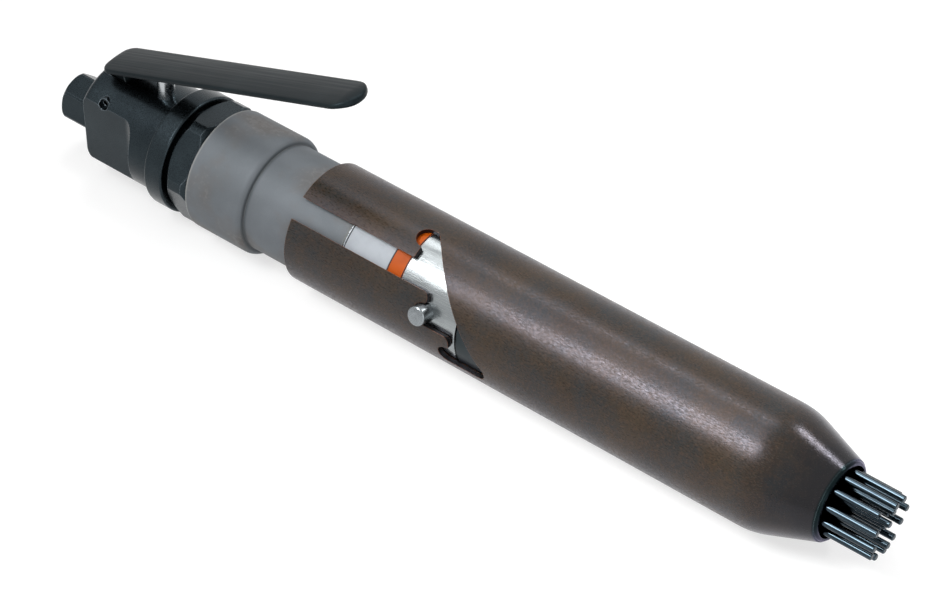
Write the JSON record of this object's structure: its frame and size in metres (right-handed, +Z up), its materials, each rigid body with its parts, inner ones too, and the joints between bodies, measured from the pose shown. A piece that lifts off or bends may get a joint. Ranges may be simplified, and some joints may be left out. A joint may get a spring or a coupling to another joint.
{
  "type": "needle scaler",
  "caption": "Hand-held air-driven needle scaler: lever throttle on a black head, grey barrel and a bayonet tube with steel needles out of its tapered mouth, for chipping rust and paint.",
  "frame": {"origin": "centre of the air inlet's rear face, 5 mm below the tool's long axis", "axes": "+X along the tool from the air inlet to the needle tips, +Z up through the throttle lever"},
  "size_m": [0.4361, 0.0591, 0.1078],
  "materials": {
    "black_oxide": "black oxide, satin",
    "lever_steel": "dark satin coat",
    "bright_steel": "bright turned steel",
    "barrel_steel": "grey matt steel",
    "polished_steel": "polished",
    "bronze_oxide": "dark brown oxide, satin",
    "needle_steel": "blue-black steel",
    "hardened_steel": "hardened and ground",
    "spring_steel": "oil tempered",
    "rubber": "matt",
    "brass": "machined"
  },
  "bodies": {
    "tool_body": {"inlet_bushing": "black_oxide", "inlet_screen": "brass", "throttle_body": "black_oxide", "lever_pin": "black_oxide", "plunger_seal": "rubber", "valve_seat": "brass", "throttle_spring": "spring_steel", "valve_cap": "black_oxide", "valve_cap_seal": "rubber", "lock_ring": "black_oxide", "lock_nut": "black_oxide", "barrel": "barrel_steel", "valve_cover": "hardened_steel", "valve_box": "hardened_steel", "valve_dowel": "bright_steel", "anvil_bush": "brass", "anvil_buffer": "rubber", "front_sleeve": "polished_steel", "retaining_pin": "bright_steel", "needle_spring": "spring_steel"},
    "lever": {"throttle_lever": "lever_steel"},
    "plunger": {"throttle_plunger": "bright_steel", "throttle_valve": "hardened_steel"},
    "flapper": {"valve_plate": "hardened_steel"},
    "piston": {"piston": "hardened_steel"},
    "anvil": {"anvil": "hardened_steel"},
    "tube": {"needle_tube": "bronze_oxide"},
    "holder": {"needle_holder": "hardened_steel"},
    "needle_01": {"needle_01": "needle_steel"},
    "needle_02": {"needle_02": "needle_steel"},
    "needle_03": {"needle_03": "needle_steel"},
    "needle_04": {"needle_04": "needle_steel"},
    "needle_05": {"needle_05": "needle_steel"},
    "needle_06": {"needle_06": "needle_steel"},
    "needle_07": {"needle_07": "needle_steel"},
    "needle_08": {"needle_08": "needle_steel"},
    "needle_09": {"needle_09": "needle_steel"},
    "needle_10": {"needle_10": "needle_steel"},
    "needle_11": {"needle_11": "needle_steel"},
    "needle_12": {"needle_12": "needle_steel"},
    "needle_13": {"needle_13": "needle_steel"},
    "needle_14": {"needle_14": "needle_steel"},
    "needle_15": {"needle_15": "needle_steel"},
    "needle_16": {"needle_16": "needle_steel"},
    "needle_17": {"needle_17": "needle_steel"},
    "needle_18": {"needle_18": "needle_steel"},
    "needle_19": {"needle_19": "needle_steel"}
  },
  "joints": [
    {"name": "lever_press", "type": "hinge", "parent": "tool_body", "child": "lever", "pos_m": [0.0338, 0, 0.0225], "axis": [0, 1, 0], "range_deg": [0, 14], "stiffness_Nm_per_rad": 0.6, "springref_deg": -34.38},
    {"name": "plunger_slide", "type": "slide", "parent": "tool_body", "child": "plunger", "axis": [0, 0, -1], "range_m": [0, 0.0065], "deforming": ["throttle_spring"]},
    {"name": "flapper_slide", "type": "slide", "parent": "tool_body", "child": "flapper", "axis": [1, 0, 0], "range_m": [0, 0.0012]},
    {"name": "piston_slide", "type": "slide", "parent": "tool_body", "child": "piston", "axis": [1, 0, 0], "range_m": [0, 0.047]},
    {"name": "anvil_slide", "type": "slide", "parent": "tool_body", "child": "anvil", "axis": [1, 0, 0], "range_m": [0, 0.003]},
    {"name": "tube_slide", "type": "slide", "parent": "tool_body", "child": "tube", "axis": [1, 0, 0], "range_m": [-0.01, 0], "stiffness_N_per_m": 1500, "springref_m": 0.02, "deforming": ["needle_spring"]},
    {"name": "holder_slide", "type": "slide", "parent": "tool_body", "child": "holder", "axis": [1, 0, 0], "range_m": [0, 0.012], "stiffness_N_per_m": 1500, "springref_m": -0.02, "deforming": ["needle_spring"]},
    {"name": "needle_01_slide", "type": "slide", "parent": "holder", "child": "needle_01", "axis": [1, 0, 0], "range_m": [-0.00418, 0.00402]},
    {"name": "needle_02_slide", "type": "slide", "parent": "holder", "child": "needle_02", "axis": [1, 0, 0], "range_m": [-0.00533, 0.00287]},
    {"name": "needle_03_slide", "type": "slide", "parent": "holder", "child": "needle_03", "axis": [1, 0, 0], "range_m": [-0.00779, 0.00041]},
    {"name": "needle_04_slide", "type": "slide", "parent": "holder", "child": "needle_04", "axis": [1, 0, 0], "range_m": [-0.00328, 0.00492]},
    {"name": "needle_05_slide", "type": "slide", "parent": "holder", "child": "needle_05", "axis": [1, 0, 0], "range_m": [-0.00804, 0.00016]},
    {"name": "needle_06_slide", "type": "slide", "parent": "holder", "child": "needle_06", "axis": [1, 0, 0], "range_m": [-0.00057, 0.00763]},
    {"name": "needle_07_slide", "type": "slide", "parent": "holder", "child": "needle_07", "axis": [1, 0, 0], "range_m": [-0.00131, 0.00689]},
    {"name": "needle_08_slide", "type": "slide", "parent": "holder", "child": "needle_08", "axis": [1, 0, 0], "range_m": [-0.00246, 0.00574]},
    {"name": "needle_09_slide", "type": "slide", "parent": "holder", "child": "needle_09", "axis": [1, 0, 0], "range_m": [-0.0073, 0.0009]},
    {"name": "needle_10_slide", "type": "slide", "parent": "holder", "child": "needle_10", "axis": [1, 0, 0], "range_m": [-0.00804, 0.00016]},
    {"name": "needle_11_slide", "type": "slide", "parent": "holder", "child": "needle_11", "axis": [1, 0, 0], "range_m": [-0.00451, 0.00369]},
    {"name": "needle_12_slide", "type": "slide", "parent": "holder", "child": "needle_12", "axis": [1, 0, 0], "range_m": [-0.00713, 0.00107]},
    {"name": "needle_13_slide", "type": "slide", "parent": "holder", "child": "needle_13", "axis": [1, 0, 0], "range_m": [-0.00771, 0.00049]},
    {"name": "needle_14_slide", "type": "slide", "parent": "holder", "child": "needle_14", "axis": [1, 0, 0], "range_m": [-0.0059, 0.0023]},
    {"name": "needle_15_slide", "type": "slide", "parent": "holder", "child": "needle_15", "axis": [1, 0, 0], "range_m": [-0.00508, 0.00312]},
    {"name": "needle_16_slide", "type": "slide", "parent": "holder", "child": "needle_16", "axis": [1, 0, 0], "range_m": [-0.00484, 0.00336]},
    {"name": "needle_17_slide", "type": "slide", "parent": "holder", "child": "needle_17", "axis": [1, 0, 0], "range_m": [-0.00451, 0.00369]},
    {"name": "needle_18_slide", "type": "slide", "parent": "holder", "child": "needle_18", "axis": [1, 0, 0], "range_m": [-0.00435, 0.00385]},
    {"name": "needle_19_slide", "type": "slide", "parent": "holder", "child": "needle_19", "axis": [1, 0, 0], "range_m": [-0.00525, 0.00295]}
  ],
  "couplings": [
    {"joint": "plunger_slide", "follows": "lever_press", "m_per_rad": 0.026}
  ]
}
